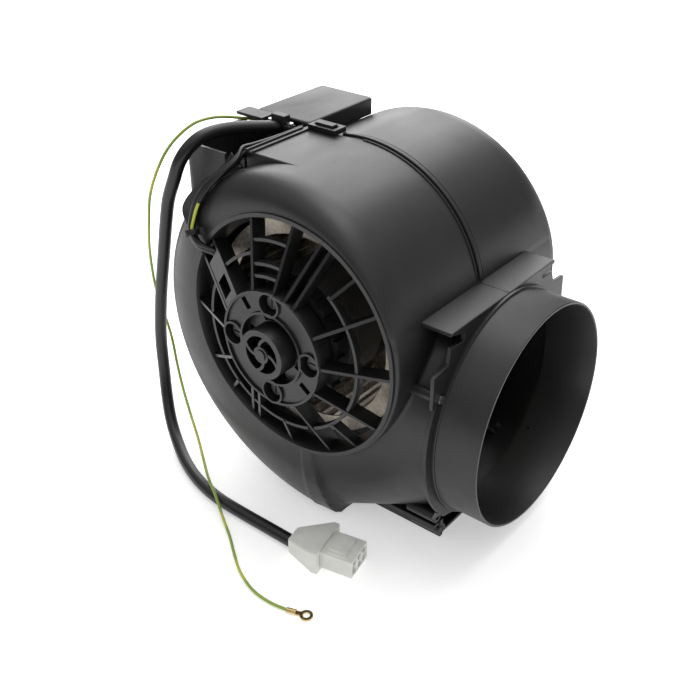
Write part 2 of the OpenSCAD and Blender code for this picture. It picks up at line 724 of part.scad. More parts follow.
module wiring_box() {
    at_wheel() color([0.16, 0.16, 0.17]) {
        difference() {
            intersection() {
                along(tray_near, lid_far) polygon(box_outline(0, tray_top));
                box_plan(0);
            }
            intersection() {
                along(tray_near - 5, lid_far + 5)
                    polygon(box_outline(box_wall, tray_top + 10));
                box_plan(box_wall);
            }
            translate([tray_left - 1, lid_near, lid_base])
                cube([lid_w + 20, lid_len + 5, 40]);
            translate([box_right - 19, tray_near - 5, tray_top - 6]) cube([13, 10, 20]);
            // Channel for the motor's leads along the box's right wall
            translate([box_right - 9, tray_near + 4, LEAD[0][2] - rise - lead_d / 2 - 0.3])
                cube([7, lid_near - tray_near + 1, 20]);
        }
        for (s = [-1, 1]) let (x = clamp_x + s * clamp_half)
            translate([x, clamp_y + 3, wall_z(x) + box_wall - 1])
                cylinder(r = 3, h = clamp_base - wall_z(x) - box_wall + 1, $fn = 24);
    }
}

module box_lid() {
    at_wheel() color([0.2, 0.2, 0.21]) difference() {
        translate([0, 0, lid_base]) linear_extrude(lid_h) hull()
            for (x = [box_left + 3, box_right - 3], y = [lid_near + 3, lid_far - 3])
                translate([x, y]) circle(3, $fn = 32);
        translate([box_left + box_wall, lid_near + box_wall, lid_base - 1])
            cube([lid_w - 2 * box_wall, lid_len - 2 * box_wall, lid_h - box_wall + 1]);
        translate([clamp_x - 5.5, lid_near - 1, lid_base - 1])
            cube([box_right - box_wall - clamp_x + 5.5, 4, lid_h - box_wall + 0.9]);
        translate([EARTH[1][0] + reach - 2.5, lid_near - 1, lid_base - 1])
            cube([6, 4, EARTH[1][2] - rise - lid_base + 2.4]);
    }
    at_wheel() color([0.2, 0.2, 0.21]) translate([box_left - 7, lid_near - 12, lid_top - 2])
        cube([23, 12.5, 2]);
}

module run_capacitor() {
    cap_r = 9.5;
    at_wheel() color([0.85, 0.85, 0.82]) translate([box_left + cap_r + 4, lid_far - 8,
        lid_top - box_wall - cap_r - 1]) rotate([90, 0, 0]) {
        cylinder(r = cap_r, h = 46);
        for (s = [-3, 3]) translate([s, -1, 46]) cube([0.8, 3, 4]);
    }
}

module terminal_block() {
    at_wheel() color([0.9, 0.88, 0.8]) difference() {
        translate([box_right - 17, 14, lid_top - box_wall - 8]) cube([12, 34, 7]);
        for (k = [0:3]) translate([box_right - 11, 18.5 + 8 * k, lid_top - box_wall - 5])
            cylinder(r = 2.2, h = 10);
    }
}

module cable_clamp() {
    hole_z = CABLE[1][2] - rise;
    hole_r = cable_d / 2 + 0.2;
    at_wheel() color([0.17, 0.17, 0.18]) difference() {
        translate([clamp_x - clamp_half - 2.2, clamp_y, clamp_base])
            cube([2 * clamp_half + 4.4, 6, 14]);
        translate([clamp_x, clamp_y - 1, hole_z]) rotate([-90, 0, 0])
            cylinder(r = hole_r, h = 8);
        translate([clamp_x - hole_r, clamp_y - 1, clamp_base - 1])
            cube([2 * hole_r, 8, hole_z - clamp_base + 1]);
        for (s = [-1, 1]) translate([clamp_x + clamp_half * s, clamp_y + 3, clamp_base - 1])
            cylinder(r = 1.4, h = 20);
        for (s = [-1, 1]) translate([clamp_x + (clamp_half + 1.7) * s, clamp_y - 1,
            clamp_base + 12]) cube([8, 20, 8], center = true);
    }
}

module clamp_screws() {
    at_wheel() color([0.62, 0.62, 0.6]) for (s = [-1, 1])
        translate([clamp_x + clamp_half * s, clamp_y + 3, clamp_base]) {
            cylinder(r = 1.4, h = 8);
            translate([0, 0, 8]) cylinder(r = 2.1, h = 1.5);
        }
}

// ---- Latch on the joint, beside the lid ----

module seam_latch() {
    at_wheel() color([0.15, 0.15, 0.16]) translate([box_right + 4, -8, deck_z + 0.2])
        difference() {
            cube([22, 12, 3.4]);
            translate([3, 2.5, -1]) cube([16, 6, 6]);
        }
}

module latch_hook() {
    at_wheel() color([0.16, 0.16, 0.17]) translate([box_right + 8, -5.3, deck_z + 0.2]) {
        cube([14, 3, 4.6]);
        translate([0, 0, 3.6]) cube([14, 5.6, 1.4]);
    }
}

// ---- Leads ----

module motor_lead() { color([0.06, 0.06, 0.06]) lead(LEAD, lead_d, ref = [1, 0, 0]); }
module motor_earth_lead() { color([0.75, 0.72, 0.15]) lead(LEAD_EARTH, wire_d, ref = [1, 0, 0]); }

// Tie around the motor's leads on the shoulder: a round band, its head and its tail
module cable_tie() {
    way = unit(LEAD[tie_k + 1] - LEAD[tie_k - 1]);
    inner = lead_d / 2 + 1.5;
    color([0.05, 0.05, 0.05]) translate((LEAD[tie_k] + LEAD_EARTH[tie_k]) / 2)
        rotate([0, acos(way[2]), atan2(way[1], way[0])]) {
            difference() {
                cylinder(r = inner + 0.8, h = 3.6, center = true, $fn = 32);
                cylinder(r = inner, h = 6, center = true, $fn = 32);
            }
            translate([-2.4, inner + 0.4, -2.2]) cube([4.8, 4, 4.4]);
            translate([-1.6, inner + 4.2, -0.6]) cube([3.2, 6, 1.2]);
        }
}

module mains_cable() { color([0.05, 0.05, 0.05]) lead(CABLE, cable_d, 12); }
module earth_wire() { color([0.62, 0.68, 0.25]) lead(EARTH, wire_d); }

// ---- Connector on the cable's end ----

plug_at = CABLE[len(CABLE) - 1];
plug_turn = 12;
hood_len = 26;
plug_w = 22;
plug_h = 13;

// Origin on the cable's end, X forward out of the cable, Z up
module at_plug() { translate(plug_at) rotate([0, 0, plug_turn]) children(); }

module connector_hood() {
    mouth_w = 33;
    at_plug() color([0.93, 0.92, 0.88]) difference() {
        hull() {
            translate([0, -6.5, -cable_d / 2 + 0.4]) cube([3, 13, 11.5]);
            translate([hood_len - 4, -mouth_w / 2, -cable_d / 2 + 0.4])
                cube([4, mouth_w, 17]);
        }
        translate([hood_len - 8, -plug_w / 2, -cable_d / 2 + 2.4])
            cube([20, plug_w, plug_h]);
    }
}

module connector_plug() {
    at_plug() color([0.93, 0.92, 0.88]) translate([hood_len - 8, -plug_w / 2,
        -cable_d / 2 + 2.4]) difference() {
        union() {
            cube([30, plug_w, plug_h]);
            translate([12, 3, plug_h]) cube([12, plug_w - 6, 2.6]);
        }
        for (k = [-1:1], z = [0, 1]) translate([15, plug_w / 2 + 6.8 * k, 3.4 + 6.2 * z])
            rotate([0, 90, 0]) cylinder(r = 2.1, h = 20);
    }
}

module connector_sockets() {
    at_plug() color([0.8, 0.7, 0.42]) translate([hood_len - 8, -plug_w / 2,
        -cable_d / 2 + 2.4]) for (k = [-1:1], z = [0, 1])
            translate([15, plug_w / 2 + 6.8 * k, 3.4 + 6.2 * z]) rotate([0, 90, 0])
                difference() {
                    cylinder(r = 1.9, h = 12);
                    translate([0, 0, 3]) cylinder(r = 1.3, h = 12);
                }
}

// Crimped ring on the earth wire's end
module ring_terminal() {
    at = EARTH[len(EARTH) - 1];
    color([0.8, 0.66, 0.3]) translate(at) rotate([0, 0, 20]) {
        rotate([0, 90, 0]) cylinder(r = 1.6, h = 6);
        translate([5, -1.5, -1.2]) cube([5, 3, 1]);
        translate([12.5, 0, -1.2]) difference() {
            cylinder(r = 4, h = 1);
            translate([0, 0, -1]) cylinder(r = 2.2, h = 4);
        }
    }
}

casing_front();
casing_rear();
outlet_collar();
motor_grille();
inlet_guard();
motor_cover_front();
motor_cover_rear();
stator_core();
stator_windings();
bearing_front();
bearing_rear();
motor_bushes();
motor_screws();
rotor_core();
motor_shaft();
wheel_disc();
wheel_hub();
hub_set_screw();
wheel_blades_front();
wheel_blades_rear();
wheel_ring_front();
wheel_ring_rear();
wiring_box();
box_lid();
run_capacitor();
terminal_block();
cable_clamp();
clamp_screws();
seam_latch();
latch_hook();
casing_screws();
motor_lead();
motor_earth_lead();
cable_tie();
mains_cable();
connector_hood();
connector_plug();
connector_sockets();
earth_wire();
ring_terminal();
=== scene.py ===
"""Looks of the double-inlet blower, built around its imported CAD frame."""

import math

import bmesh
import bpy
import numpy as np
from mathutils import Matrix, Vector


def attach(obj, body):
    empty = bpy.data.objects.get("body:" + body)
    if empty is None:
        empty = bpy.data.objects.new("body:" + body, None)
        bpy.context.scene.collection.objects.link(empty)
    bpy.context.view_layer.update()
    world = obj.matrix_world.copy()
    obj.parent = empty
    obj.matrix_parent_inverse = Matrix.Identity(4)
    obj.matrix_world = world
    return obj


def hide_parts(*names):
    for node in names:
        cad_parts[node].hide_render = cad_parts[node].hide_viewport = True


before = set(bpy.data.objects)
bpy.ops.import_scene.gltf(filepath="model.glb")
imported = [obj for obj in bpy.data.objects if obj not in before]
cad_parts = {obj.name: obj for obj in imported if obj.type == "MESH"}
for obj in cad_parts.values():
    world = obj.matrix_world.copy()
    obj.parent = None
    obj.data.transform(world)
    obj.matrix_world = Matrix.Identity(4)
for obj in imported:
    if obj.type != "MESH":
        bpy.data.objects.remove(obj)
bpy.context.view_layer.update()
MM = 0.001

# Lengths are in millimetres from the wheel's axis at mid width, and the cords' and the
# fence's routes in millimetres of the part's own frame.
# That point is REACH behind the outlet's open end and RISE above the outlet's own axis.
REACH, RISE = 128.0, 51.0
HALF_W, WALL, SHOULDER = 90.0, 2.2, 19.0
WHEEL_R, CUTOFF_GAP, GROWTH = 71.5, 5.0, 78.5
INLET_R = 78.0
RIM_R = INLET_R + 2.2
DUCT_R, NECK_R = 75.0, 77.4
FLANGE_X, FLANGE_T = 98.0, 2.5
SHELF_Z, SHELF_X, SHELF_HALF = 26.5, 72.0, 62.0
DECK_Z = 96.9
FOOT_Z = -136.45
FOOT_HALF, FOOT_FRONT = 50.0, FLANGE_X - 7.0
TONGUE_A, SPIRAL_END = 19.3, 281.0
BOX_LEFT, BOX_RIGHT = -102.0, -56.0
TRAY_NEAR, LID_NEAR, LID_FAR = -60.0, -2.0, 66.0


def to_frame(points):
    """Points measured from the wheel's axis, as points of the frame in metres."""
    p = np.asarray(points, float)
    return (p + np.array([-REACH, 0.0, RISE])) * MM


# ---------------------------------------------------------------- camera

BACK = Vector((0.529, -0.664, 0.5284)).normalized()
RIGHT = Vector((0.782, 0.6234, 0.0)).normalized()
UP = BACK.cross(RIGHT)
EYE = 660.02 * BACK - 18.66 * RIGHT - 44.08 * UP
FOCAL_PX, SENSOR_MM, FRAME_PX = 993.91, 36.0, 700.0

camera_data = bpy.data.cameras.new("camera")
camera_data.sensor_width = SENSOR_MM
camera_data.lens = FOCAL_PX / FRAME_PX * SENSOR_MM
camera_data.clip_start, camera_data.clip_end = 0.01, 20.0
camera = bpy.data.objects.new("camera", camera_data)
bpy.context.collection.objects.link(camera)
facing = Matrix((RIGHT, UP, BACK)).transposed().to_4x4()
camera.matrix_world = Matrix.Translation(Vector(to_frame(EYE))) @ facing
bpy.context.scene.camera = camera


# ---------------------------------------------------------------- materials

class Nodes:
    """A material's node tree with a Principled shader, filled in by short calls."""

    def __init__(self, name, color, rough, metallic=0.0):
        self.mat = bpy.data.materials.new(name)
        self.mat.use_nodes = True
        self.tree = self.mat.node_tree
        self.bsdf = self.tree.nodes["Principled BSDF"]
        self.bsdf.inputs["Base Color"].default_value = (*color, 1.0)
        self.bsdf.inputs["Roughness"].default_value = rough
        self.bsdf.inputs["Metallic"].default_value = metallic
        self.mat.diffuse_color = (*color, 1.0)
        self.coords = self.add("ShaderNodeTexCoord").outputs["Object"]

    def add(self, kind, **values):
        node = self.tree.nodes.new(kind)
        for key, value in values.items():
            if hasattr(node, key):
                setattr(node, key, value)
            else:
                node.inputs[key.replace("_", " ")].default_value = value
        return node

    def link(self, a, b):
        self.tree.links.new(a, b)

    def noise(self, scale, detail=3.0, rough=0.5, stretch=None):
        node = self.add("ShaderNodeTexNoise")
        node.inputs["Scale"].default_value = scale
        node.inputs["Detail"].default_value = detail
        node.inputs["Roughness"].default_value = rough
        source = self.coords
        if stretch:
            mapping = self.add("ShaderNodeMapping")
            mapping.inputs["Scale"].default_value = stretch
            self.link(source, mapping.inputs["Vector"])
            source = mapping.outputs["Vector"]
        self.link(source, node.inputs["Vector"])
        return node.outputs["Fac"]

    def ramp(self, value, low, high, a, b):
        node = self.add("ShaderNodeMapRange")
        self.link(value, node.inputs["Value"])
        for key, v in (("From Min", low), ("From Max", high), ("To Min", a), ("To Max", b)):
            node.inputs[key].default_value = v
        return node.outputs["Result"]

    def colours(self, value, stops):
        node = self.add("ShaderNodeValToRGB")
        ramp = node.color_ramp
        while len(ramp.elements) < len(stops):
            ramp.elements.new(0.5)
        for element, (at, color) in zip(ramp.elements, stops):
            element.position = at
            element.color = (*color, 1.0)
        self.link(value, node.inputs["Fac"])
        self.link(node.outputs["Color"], self.bsdf.inputs["Base Color"])
        return node

    def rough(self, value):
        self.link(value, self.bsdf.inputs["Roughness"])

    def bump(self, value, strength, distance, after=None):
        node = self.add("ShaderNodeBump")
        node.inputs["Strength"].default_value = strength
        node.inputs["Distance"].default_value = distance
        self.link(value, node.inputs["Height"])
        if after:
            self.link(after, node.inputs["Normal"])
        self.link(node.outputs["Normal"], self.bsdf.inputs["Normal"])
        return node.outputs["Normal"]


def plastic(name, color, rough=0.42, spread=0.10, grain=0.18):
    """Moulded plastic: flow marks in the gloss, fine pitting, and dusty paler patches."""
    m = Nodes(name, color, rough)
    patches = m.noise(14.0, 4.0, 0.6)
    pale = tuple(min(1.0, c * 1.3 + 0.0015) for c in color)
    m.colours(patches, [(0.35, color), (0.75, pale)])
    flow = m.noise(30.0, 3.0, 0.55, stretch=(1.0, 0.35, 1.0))
    m.rough(m.ramp(flow, 0.3, 0.75, rough - spread * 0.6, rough + spread))
    fine = m.noise(1500.0, 2.0, 0.6)
    first = m.bump(fine, grain, 0.0001)
    m.bump(m.noise(70.0, 2.0, 0.5), 0.10, 0.0006, after=first)
    return m.mat


def sheet_metal(name, dark, light, rough=0.38):
    """Zinc-coated sheet: blotched spangle and rolling streaks."""
    m = Nodes(name, light, rough, metallic=0.85)
    spangle = m.add("ShaderNodeTexVoronoi")
    spangle.inputs["Scale"].default_value = 420.0
    m.link(m.coords, spangle.inputs["Vector"])
    mix = m.add("ShaderNodeMix", data_type="FLOAT")
    mix.inputs["Factor"].default_value = 0.45
    m.link(m.noise(60.0, 4.0, 0.6), mix.inputs["A"])
    m.link(spangle.outputs["Distance"], mix.inputs["B"])
    m.colours(mix.outputs["Result"], [(0.2, dark), (0.65, light)])
    m.rough(m.ramp(mix.outputs["Result"], 0.2, 0.7, rough - 0.08, rough + 0.18))
    m.bump(m.noise(900.0, 2.0, 0.5, stretch=(1.0, 1.0, 0.1)), 0.12, 0.0001)
    return m.mat


def metal(name, color, rough=0.3, streak=(1.0, 1.0, 1.0)):
    m = Nodes(name, color, rough, metallic=1.0)
    dark = tuple(c * 0.7 for c in color)
    m.colours(m.noise(90.0, 4.0, 0.6), [(0.3, dark), (0.7, color)])
    lines = m.noise(1400.0, 2.0, 0.5, stretch=streak)
    m.rough(m.ramp(lines, 0.3, 0.7, rough - 0.08, rough + 0.12))
    m.bump(lines, 0.15, 0.0001)
    return m.mat


def laminated(name, color):
    """Stacked thin sheets, seen as fine lines across the wheel's axis."""
    m = Nodes(name, color, 0.45, metallic=0.9)
    wave = m.add("ShaderNodeTexWave", wave_type="BANDS", bands_direction="Y")
    wave.inputs["Scale"].default_value = 330.0
    wave.inputs["Distortion"].default_value = 0.4
    m.link(m.coords, wave.inputs["Vector"])
    dark = tuple(c * 0.45 for c in color)
    m.colours(wave.outputs["Fac"], [(0.1, dark), (0.8, color)])
    m.bump(wave.outputs["Fac"], 0.5, 0.0002)
    return m.mat


def two_colour_sheath(name, base, stripe):
    """Thin insulation with a second colour running along it in patches."""
    m = Nodes(name, base, 0.35)
    m.colours(m.noise(34.0, 1.0, 0.4), [(0.47, base), (0.56, stripe)])
    m.rough(m.ramp(m.noise(200.0), 0.3, 0.7, 0.28, 0.42))
    m.bump(m.noise(900.0, 2.0, 0.5), 0.15, 0.0001)
    return m.mat


def nylon(name, color):
    m = Nodes(name, color, 0.38)
    m.bsdf.inputs["Subsurface Weight"].default_value = 0.25
    m.bsdf.inputs["Subsurface Radius"].default_value = (0.004, 0.0035, 0.003)
    grey = tuple(c * 0.9 for c in color)
    m.colours(m.noise(120.0, 3.0, 0.5), [(0.3, grey), (0.7, color)])
    m.rough(m.ramp(m.noise(260.0), 0.3, 0.7, 0.3, 0.46))
    m.bump(m.noise(700.0, 2.0, 0.5), 0.12, 0.0001)
    return m.mat


casing_mat = plastic("casing_plastic", (0.0125, 0.0122, 0.013), 0.40)
collar_mat = plastic("collar_plastic", (0.017, 0.0165, 0.017), 0.40)
guard_mat = plastic("guard_plastic", (0.008, 0.008, 0.0085), 0.34)
box_mat = plastic("box_plastic", (0.0115, 0.0115, 0.0122), 0.44)
motor_mat = plastic("motor_paint", (0.011, 0.011, 0.012), 0.5, grain=0.35)
sheath_mat = plastic("cable_sheath", (0.006, 0.006, 0.0065), 0.36, 0.08, 0.12)
tie_mat = plastic("tie_nylon", (0.007, 0.007, 0.0075), 0.4)
rubber_mat = plastic("bush_rubber", (0.005, 0.005, 0.005), 0.7, 0.1, 0.4)
earth_mat = two_colour_sheath("earth_sheath", (0.30, 0.42, 0.07), (0.55, 0.58, 0.10))
yellow_mat = two_colour_sheath("yellow_sheath", (0.62, 0.55, 0.03), (0.50, 0.56, 0.05))
white_mat = nylon("white_nylon", (0.84, 0.84, 0.80))
cap_mat = nylon("capacitor_case", (0.70, 0.70, 0.66))
zinc_mat = sheet_metal("galvanised_sheet", (0.20, 0.175, 0.145), (0.50, 0.45, 0.38))
screw_mat = metal("zinc_plate", (0.55, 0.55, 0.53), 0.3)
steel_mat = metal("ground_steel", (0.58, 0.58, 0.6), 0.25, streak=(1.0, 0.1, 1.0))
alloy_mat = metal("cast_alloy", (0.55, 0.55, 0.55), 0.45)
dark_screw_mat = metal("black_oxide", (0.08, 0.08, 0.085), 0.4)
brass_mat = metal("brass", (0.72, 0.54, 0.24), 0.25)
bronze_mat = metal("sintered_bronze", (0.45, 0.32, 0.15), 0.5)
copper_mat = metal("varnished_wire", (0.42, 0.17, 0.07), 0.35, streak=(0.1, 1.0, 0.1))
core_mat = laminated("laminations", (0.28, 0.27, 0.26))


# ---------------------------------------------------------------- mesh helpers

def new_object(name, verts, faces, mat, body, smooth_angle=None, replaces=()):
    """A mesh piece from points in wheel millimetres, riding on a body."""
    mesh = bpy.data.meshes.new(name)
    mesh.from_pydata([tuple(v) for v in to_frame(verts)], [], [tuple(f) for f in faces])
    mesh.validate()
    mesh.update()
    return finish_object(name, mesh, mat, body, smooth_angle, replaces)


def finish_object(name, mesh, mat, body, smooth_angle=None, replaces=()):
    obj = bpy.data.objects.new(name, mesh)
    bpy.context.collection.objects.link(obj)
    mesh.materials.append(mat)
    if smooth_angle is not None:
        mesh.shade_smooth()
        mesh.set_sharp_from_angle(angle=math.radians(smooth_angle))
    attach(obj, body)
    if replaces:
        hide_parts(*replaces)
    return obj


def bevel(obj, width, segments=2, angle=32.0):
    mod = obj.modifiers.new("edge", "BEVEL")
    mod.width = width * MM
    mod.segments = segments
    mod.limit_method = "ANGLE"
    mod.angle_limit = math.radians(angle)
    mod.harden_normals = False
    return obj


def prism(outline, axis, low, high):
    """Points and faces of an outline extruded along axis 0, 1 or 2; its two coordinates
    are the other two axes in X, Y, Z order."""
    n = len(outline)
    others = [i for i in range(3) if i != axis]
    verts = np.zeros((2 * n, 3))
    for k, at in enumerate((low, high)):
        verts[k * n:(k + 1) * n, others[0]] = [p[0] for p in outline]
        verts[k * n:(k + 1) * n, others[1]] = [p[1] for p in outline]
        verts[k * n:(k + 1) * n, axis] = at
    faces = [tuple(range(n)), tuple(range(2 * n - 1, n - 1, -1))]
    faces += [(i, i + n, (i + 1) % n + n, (i + 1) % n) for i in range(n)]
    return verts, faces


def box(lo, hi):
    return prism([(lo[0], lo[1]), (hi[0], lo[1]), (hi[0], hi[1]), (lo[0], hi[1])],
                 2, lo[2], hi[2])


def revolve(profile, start=0.0, end=360.0, steps=96):
    """Closed (radius, height) outline turned about local Z."""
    full = abs(end - start) > 359.9
    angles = np.radians(np.linspace(start, end, steps + 1))
    if full:
        angles = angles[:-1]
    n, m = len(profile), len(angles)
    verts = [(r * math.cos(a), r * math.sin(a), h) for a in angles for r, h in profile]
    faces = []
    for k in range(m if full else m - 1):
        for i in range(n):
            a, b = k * n + i, k * n + (i + 1) % n
            c, d = ((k + 1) % m) * n + (i + 1) % n, ((k + 1) % m) * n + i
            faces.append((a, b, c, d))
    if not full:
        faces.append(tuple(range(n - 1, -1, -1)))
        faces.append(tuple(range((m - 1) * n, m * n)))
    return np.array(verts), faces


def on_duct(verts, x=0.0):
    """Local Z along the outlet from x, about the outlet's own axis."""
    v = np.asarray(verts, float)
    return np.stack([v[:, 2] + x, v[:, 0], v[:, 1] - RISE], axis=1)


def merge(parts):
    verts, faces, base = [], [], 0
    for v, f in parts:
        verts.append(np.asarray(v, float))
        faces += [tuple(i + base for i in face) for face in f]
        base += len(v)
    return np.concatenate(verts), faces


# Points of a smoothed route for each point it is given
SMOOTH_STEPS = 4


def smooth_path(points, per=SMOOTH_STEPS):
    """Catmull-Rom curve through the points."""
    p = np.asarray(points, float)
    out = []
    n = len(p)
    for i in range(n - 1):
        a, b, c, d = p[max(i - 1, 0)], p[i], p[i + 1], p[min(i + 2, n - 1)]
        for k in range(per):
            t = k / per
            out.append(0.5 * (2 * b + (c - a) * t + (2 * a - 5 * b + 4 * c - d) * t * t
                              + (3 * b - a - 3 * c + d) * t ** 3))
    out.append(p[-1])
    return np.array(out)


def tube(points, radius, sides=16):
    """A round tube along points, with its ends closed; radius may be a list."""
    p = np.asarray(points, float)
    n = len(p)
    r = np.broadcast_to(np.asarray(radius, float), (n,))
    tangent = np.gradient(p, axis=0)
    tangent /= np.linalg.norm(tangent, axis=1)[:, None]
    up = np.array([0.0, 1.0, 0.0])
    verts = []
    side = np.cross(tangent[0], up)
    if np.linalg.norm(side) < 0.1:
        side = np.cross(tangent[0], [0.0, 0.0, 1.0])
    side /= np.linalg.norm(side)
    for k in range(n):
        side = side - tangent[k] * np.dot(side, tangent[k])
        side /= np.linalg.norm(side)
        other = np.cross(tangent[k], side)
        for s in range(sides):
            q = 2 * math.pi * s / sides
            verts.append(p[k] + (side * math.cos(q) + other * math.sin(q)) * r[k])
    faces = [tuple(range(sides - 1, -1, -1)), tuple(range((n - 1) * sides, n * sides))]
    for k in range(n - 1):
        for s in range(sides):
            t = (s + 1) % sides
            faces.append((k * sides + s, k * sides + t,
                          (k + 1) * sides + t, (k + 1) * sides + s))
    return np.array(verts), faces


# ---------------------------------------------------------------- cords

# The same points as part.scad has. Some points of LEAD and LEAD_EARTH were moved off the
# casing's surface by a scratch script, and aren't the round numbers they started as.
CABLE = [(-202, 2, 143), (-202, -9, 145), (-206, -22, 147.5), (-213, -34, 149),
         (-220, -46, 149), (-223, -58, 148), (-226, -67, 143), (-230, -73, 134),
         (-235, -75, 121), (-242, -75, 106), (-248, -74, 88), (-256, -72, 62),
         (-263, -71, 36), (-269, -70, 10), (-272, -70, -14), (-270, -72, -38),
         (-264, -77, -56), (-254, -84, -69), (-240, -92, -77), (-221, -102, -80.9),
         (-199, -111, -80.9), (-176, -116, -80.9), (-153, -117, -80.9),
         (-130, -117, -80.9), (-106, -117, -80.9)]
EARTH = [(-226, 2, 143.6), (-228, -5, 144), (-233, -13, 145.4), (-238, -20, 147),
         (-244, -29, 147.6), (-249, -40, 146),
         (-253, -51, 140), (-256, -61, 131), (-260, -68, 117), (-264, -72, 101),
         (-269, -71, 82), (-274, -69, 64), (-278, -66, 45), (-280, -63, 24),
         (-278, -60, 4), (-272, -60, -16), (-263, -65, -34), (-251, -72, -47),
         (-235, -81, -58), (-219, -90, -67), (-204, -100, -72), (-188, -111, -74),
         (-172, -120, -76), (-157, -129, -80), (-143, -137, -83.2), (-129, -147, -83.8),
         (-115, -156, -83.8), (-99, -162, -83.8), (-84, -163, -83.8), (-72, -161, -83.8)]
LEAD = [(-189, 3, 142.6), (-189, -18, 142.6), (-189, -36, 142.9), (-188.8, -50, 143.8),
        (-188, -60, 145), (-186.5, -68, 142.5), (-190.8, -76.2, 136.6), (-196.4, -81.9, 129.8),
        (-201.6, -86.6, 119.7), (-203.5, -90.2, 108.6), (-201.4, -93.4, 101.4),
        (-197.6, -93.8, 96.2), (-193.4, -93.1, 93.5), (-188, -88.5, 89.8), (-179, -85, 84),
        (-170, -84.5, 78.5), (-161.5, -84.5, 72.8)]
LEAD_EARTH = [(-189, 3, 146.3), (-189, -18, 146.3), (-189, -36, 146.8), (-188.8, -50, 147.8),
              (-187.4, -60, 148.9), (-183.6, -69.5, 145), (-186.9, -78.5, 138.4),
              (-192.6, -84.6, 130.6), (-197.7, -89.4, 120.4), (-199.9, -93, 109.4),
              (-198.4, -96.4, 102.6), (-194.3, -96.6, 97.4), (-189.9, -93.4, 94.8),
              (-184.5, -88.6, 91.2), (-175.5, -86.6, 86), (-166.5, -87, 80.2), (-159, -88.2, 76)]
CABLE_D, WIRE_D, LEAD_D = 8.5, 2.0, 5.0


def route(points):
    """A route of the part's own frame, smoothed, as wheel millimetres."""
    return smooth_path(points) + np.array([REACH, 0.0, -RISE])


def cord_piece(name, points, diameter, mat, node, sides=20):
    path = route(points)
    v, f = tube(path, diameter / 2, sides)
    return new_object(name, v, f, mat, "casing", 40, replaces=(node,)), path


cable, cable_path = cord_piece("mains_lead", CABLE, CABLE_D, sheath_mat,
                               "mains_cable", 24)
earth, earth_path = cord_piece("earth_lead", EARTH, WIRE_D, earth_mat,
                               "earth_wire", 12)
cord_piece("motor_flex", LEAD, LEAD_D, sheath_mat, "motor_lead")
cord_piece("motor_earth", LEAD_EARTH, WIRE_D, yellow_mat,
           "motor_earth_lead", 12)

SLEEVE_R = 1.25


def sleeve(name, first, last):
    """Black sleeve over a stretch of the motor's earth lead."""
    v, f = tube(route(LEAD_EARTH)[SMOOTH_STEPS * first:SMOOTH_STEPS * last + 1], SLEEVE_R, 12)
    new_object(name, v, f, sheath_mat, "casing", 40)


sleeve("earth_sleeve_upper", 0, 8)
sleeve("earth_sleeve_lower", 10, 16)


# ---------------------------------------------------------------- casing shells

def wall_radius(theta):
    """Radius of the spiral wall at an angle in degrees from the outlet's direction."""
    return WHEEL_R + CUTOFF_GAP + GROWTH * theta / 360.0


def smooth_min(a, b, k):
    h = np.maximum(k - np.abs(a - b), 0.0) / k
    return np.minimum(a, b) - h * h * k / 4.0


def shoulder_field(rho, w, radius, half):
    """Signed distance, near enough, to a section with a rounded shoulder."""
    a = np.maximum(radius - RIM_R, 0.5)
    t = w - (half - SHOULDER)
    dx, dy = np.maximum(rho - RIM_R, 0.0) / a, np.maximum(t, 0.0) / SHOULDER
    q = np.sqrt(dx * dx + dy * dy)
    slope = np.sqrt((dx / a) ** 2 + (dy / SHOULDER) ** 2)
    curved = (q - 1.0) * q / np.maximum(slope, 1e-6)
    out = np.where(t <= 0.0, rho - radius, curved)
    return np.where((rho <= RIM_R) & (t > 0.0), w - half, out)


# Where the spiral starts to blend into the duct, and how deep it is there
NECK_START, NECK_DEPTH = 10.0, 135.2


def neck_field(x, w, z):
    """Blend of the spiral's last section into the round duct, as a convex loft."""
    t = np.clip((x - NECK_START) / (FLANGE_X - 10.0 - NECK_START), 0.0, 1.0)
    half = HALF_W - 0.6
    quarter = np.radians(np.linspace(0, 90, 13))
    lower = [(half - SHOULDER + SHOULDER * math.sin(q),
              -(RIM_R + (NECK_DEPTH - RIM_R) * math.cos(q))) for q in quarter]
    corner = np.array([(half - 4.0, 0.0)] + lower)
    best = np.full(x.shape, -1e9)
    for q in np.radians(np.arange(-90, 91, 2.5)):
        n = (math.cos(q), math.sin(q))
        start = float((corner @ np.array(n)).max())
        start = max(start, float((np.array([(0.0, 0.0), (0.0, -NECK_DEPTH)]) @ n).max()))
        end = -RISE * n[1] + NECK_R
        best = np.maximum(best, w * n[0] + z * n[1] - ((1 - t) * start + t * end))
    return np.maximum(best, NECK_START - x)


# Drum around the inlets, its rounded corner, and how softly the three shapes meet
DRUM_R, DRUM_ROUND = 81.0, 2.0
NECK_BLEND, DRUM_BLEND = 4.0, 2.0


def casing_field(p):
    x, y, z = p[..., 0], p[..., 1], p[..., 2]
    rho, w = np.hypot(x, z), np.abs(y)
    theta = np.degrees(np.arctan2(z, x))
    theta = np.where(theta < TONGUE_A - 40.0, theta + 360.0, theta)
    spiral = shoulder_field(rho, w, wall_radius(np.clip(theta, TONGUE_A, SPIRAL_END)),
                            HALF_W)
    before = rho * np.sin(np.radians(np.clip(TONGUE_A - theta, -90, 90)))
    after = rho * np.sin(np.radians(np.clip(theta - SPIRAL_END, -90, 90)))
    spiral = np.maximum(spiral, np.maximum(before, after))
    dr, dw = rho - (DRUM_R - DRUM_ROUND), w - (HALF_W - 0.8 - DRUM_ROUND)
    drum = (np.hypot(np.maximum(dr, 0), np.maximum(dw, 0))
            + np.minimum(np.maximum(dr, dw), 0) - DRUM_ROUND)
    whole = smooth_min(spiral, neck_field(x, w, z), NECK_BLEND)
    return smooth_min(whole, drum, DRUM_BLEND)


